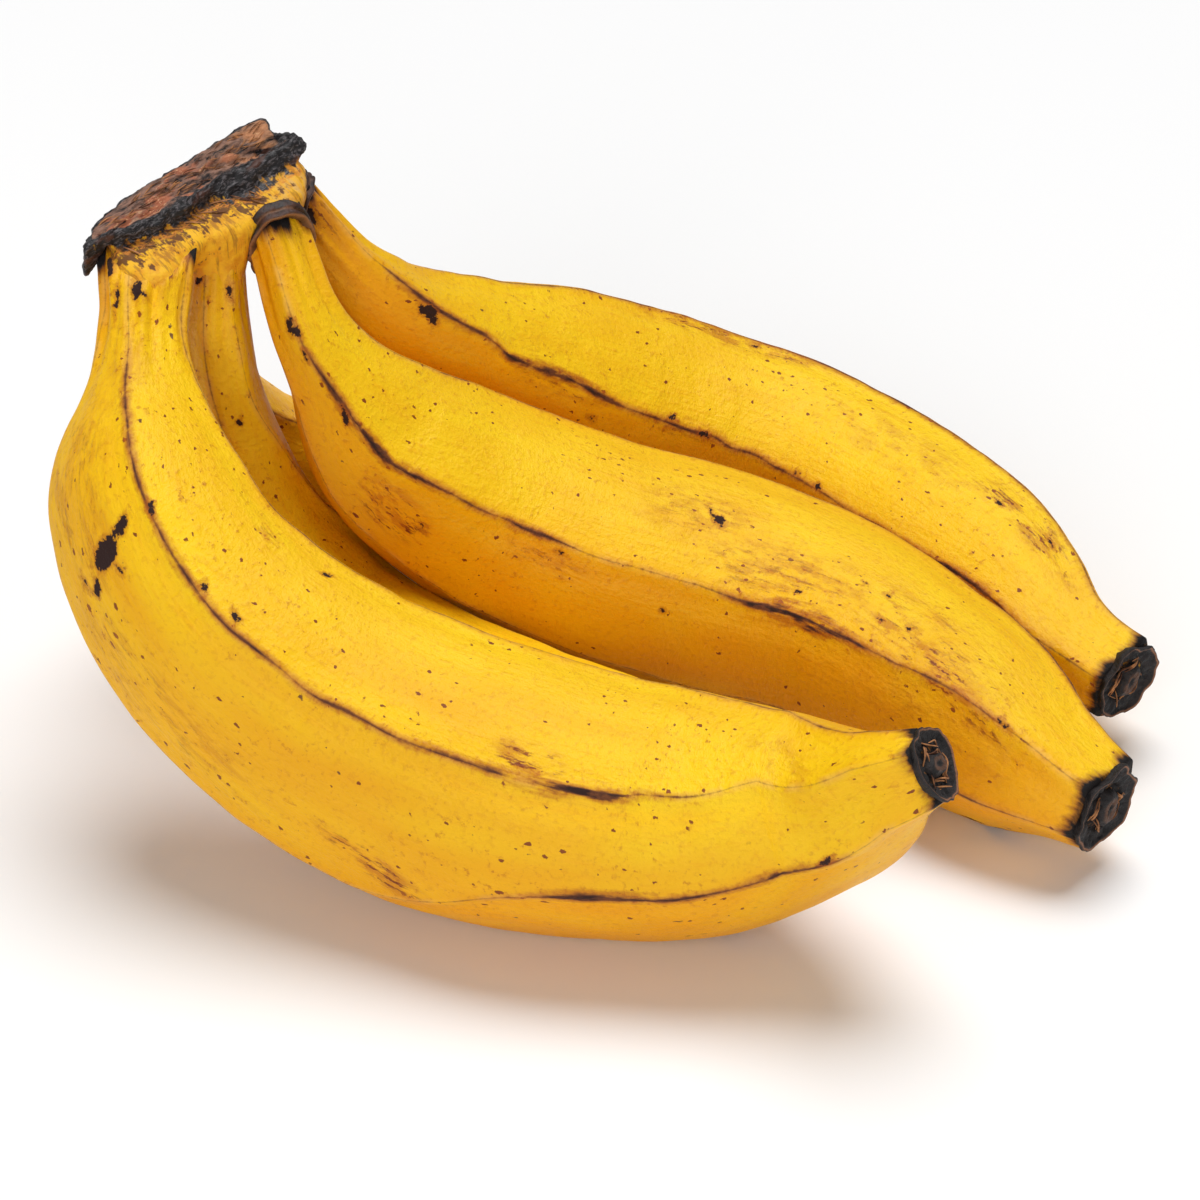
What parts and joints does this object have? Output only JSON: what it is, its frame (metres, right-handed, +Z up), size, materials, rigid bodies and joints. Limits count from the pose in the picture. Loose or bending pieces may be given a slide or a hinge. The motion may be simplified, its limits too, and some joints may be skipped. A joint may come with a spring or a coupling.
{
  "type": "hand of ripe plantains",
  "caption": "Hand of ripe yellow plantains: curved, ridged fruits joined at one cut and dried crown, each with a dark dried blossom end, lying on its side.",
  "frame": {"origin": "on the surface that the hand lies on, under the middle of its outline seen from above", "axes": "+Z up; +X from the crown towards the fingers' tips; -Y towards the side where the longest finger lies in front"},
  "size_m": [0.2212, 0.2259, 0.1195],
  "materials": {
    "peel": "waxy ripe peel with fine brown flecks and dark ridge lines",
    "dried_crown": "dry, dark, fibrous cut",
    "dried_blossom": "dry, black, crinkled"
  },
  "bodies": {
    "root": {"crown": "dried_crown", "finger_front": "peel", "finger_inner_front": "peel", "finger_middle": "peel", "finger_back": "peel", "finger_inner_back": "peel", "blossom_end_front": "dried_blossom", "blossom_end_inner_front": "dried_blossom", "blossom_end_middle": "dried_blossom", "blossom_end_back": "dried_blossom", "blossom_end_inner_back": "dried_blossom"}
  },
  "joints": []
}
